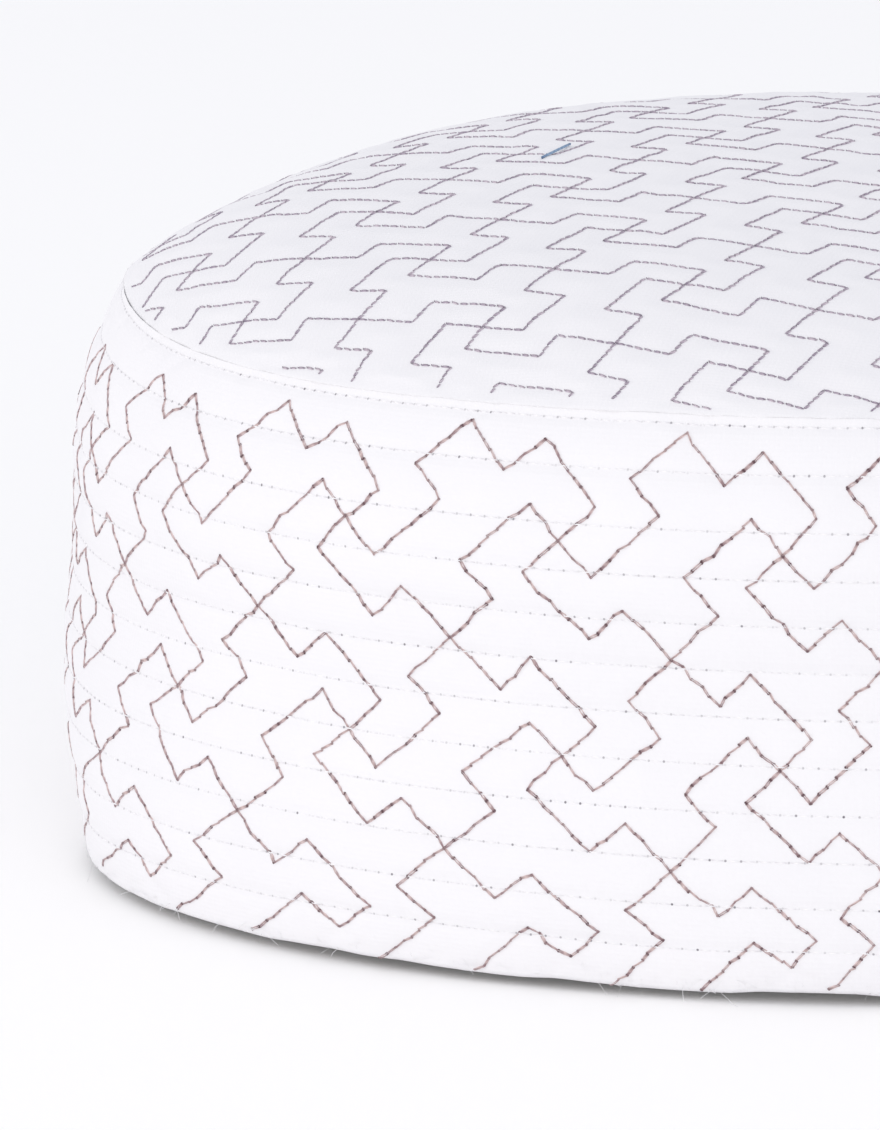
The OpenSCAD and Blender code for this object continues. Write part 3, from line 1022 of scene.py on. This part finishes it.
tacking = dict(start=(-36.1, -5.4), end=(-35.2, 3.4), fat=1.1, height=0.16, clear=0.35)   # mm on the crown
mark = np.array([(0, 0.8, -1), (0.02, 1, 0.9), (0.2, 1, 1), (0.5, 1, 1), (0.8, 1, 1), (0.98, 1, 0.9),
                 (1, 0.8, -1)])
fat = np.array(onePly) * tacking["fat"]
points, uv = stitchPoints(np.array([tacking["start"]]), np.array([tacking["end"]]),
                          lambda p, out: crownPoint(p[..., 0], p[..., 1], out + tacking["clear"]), mark, fat,
                          tacking["height"])
tackingStitch = stitchMesh("tackingStitch", points, uv, mark, blueThread)
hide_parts("marking_thread")
print("stitches made")

# lint on the hem

lint = dict(count=320, longest=2.6, thick=0.03, clear=0.08)   # mm, the last over the table


def hemLint():
    # short curled fibres: base + direction * t + curl * t^2, each a three-sided tube
    rng = np.random.default_rng(81)
    n = lint["count"]
    s, arc = rng.uniform(0, girth, n), rng.uniform(0.3, 2.2, n)
    base = wallPoint(s, arc, 0.05 + 0 * s)
    out = wallPoint(s, arc, 1.0 + 0 * s) - wallPoint(s, arc, 0 * s)
    along = np.stack([-out[:, 1], out[:, 0], 0 * s], -1)
    heading = along * rng.uniform(-1, 1, (n, 1)) + out * rng.uniform(0.05, 0.5, (n, 1))
    heading = heading + np.array([0, 0, 1]) * rng.uniform(-0.6, 0.4, (n, 1))
    curl = rng.uniform(-0.5, 0.5, (n, 3)) + np.array([0, 0, -0.1])
    length = rng.uniform(0.5, 1, (n, 1)) * lint["longest"]
    t = np.linspace(0, 1, 5)[None, :, None]
    path = base[:, None] + (heading[:, None] * t + curl[:, None] * t * t) * length[:, None]
    path[..., 2] = np.maximum(path[..., 2], lint["clear"])
    turn = np.arange(3) * 2 * math.pi / 3
    ring = np.stack([np.cos(turn), np.sin(turn), 0 * turn], -1) * lint["thick"]
    upright = np.abs(heading[:, 2]) > 0.5
    ring = np.where(upright[:, None, None], ring[None], ring[None][..., [2, 0, 1]])
    points = path[:, :, None] + ring[:, None]
    i, j = np.meshgrid(np.arange(4), np.arange(3), indexing="ij")
    i, j = i.ravel(), j.ravel()
    one = np.stack([i * 3 + j, i * 3 + (j + 1) % 3, (i + 1) * 3 + (j + 1) % 3, (i + 1) * 3 + j], -1)
    faces = (one[None] + (np.arange(n) * 15)[:, None, None]).reshape(-1, 4)
    uv = np.zeros((len(faces) * 4, 2))
    plain = {"needle": np.zeros(n * 15), "shade": np.ones(n * 15)}
    return putMesh("hemLint", points.reshape(-1, 3), [faces], whiteThread,
                   {"thread": uv}, plain)


lintPiece = hemLint()
print("lint made")

# floor and light

studio = dict(
    sky="#F9FAFF", skyStrength=0.925, floorGlow=0.045, tableHalf=6.0,
    lamp="#FFF6EC", lampSize=1.3,
    lamps=((0.55, -1.45, 0.4, 7.1), (-1.5, -0.55, 0.4, 6.4)),   # where each stands, and its watts
)


def makeFloor():
    # a square of smooth white table board, matt and bright as under studio light, so it glows a little
    mesh = bpy.data.meshes.new("tableTop")
    w = studio["tableHalf"]
    mesh.from_pydata([(-w, -w, 0), (w, -w, 0), (w, w, 0), (-w, w, 0)], [], [(0, 1, 2, 3)])
    material, tree, shader = newMaterial("mattWhiteBoard", "#F8F8F8", 0.9)
    shader.inputs["Emission Color"].default_value = (1, 1, 1, 1)
    shader.inputs["Emission Strength"].default_value = studio["floorGlow"]
    place = addNode(tree, "ShaderNodeTexCoord")
    grain = addNode(tree, "ShaderNodeTexNoise", [("Vector", place.outputs["Object"])], Scale=900.0, Detail=2.0)
    bump = addNode(tree, "ShaderNodeBump", [("Height", grain.outputs["Fac"])], Strength=0.05, Distance=0.0001)
    tree.links.new(bump.outputs[0], shader.inputs["Normal"])
    mesh.materials.append(material)
    floor = bpy.data.objects.new("tableTop", mesh)
    bpy.context.scene.collection.objects.link(floor)


def addArea(name, place, size, power, colour):
    # a round lamp that looks at the middle of the cap, 30 mm up
    data = bpy.data.lights.new(name, "AREA")
    data.shape, data.size, data.energy, data.color = "DISK", size, power, srgb(colour)[:3]
    lamp = bpy.data.objects.new(name, data)
    lamp.location = place
    lamp.rotation_euler = (Vector((0, 0, 0.03)) - Vector(place)).to_track_quat("-Z", "Y").to_euler()
    bpy.context.scene.collection.objects.link(lamp)


makeFloor()
for k, (x, y, z, power) in enumerate(studio["lamps"]):
    addArea("softLamp%d" % k, (x, y, z), studio["lampSize"], power, studio["lamp"])
world = bpy.data.worlds.new("softStudio")
bpy.context.scene.world = world
world.use_nodes = True
world.node_tree.nodes["Background"].inputs["Color"].default_value = srgb(studio["sky"])
world.node_tree.nodes["Background"].inputs["Strength"].default_value = studio["skyStrength"]
bpy.context.scene.view_settings.view_transform = "Standard"
print("studio ready")
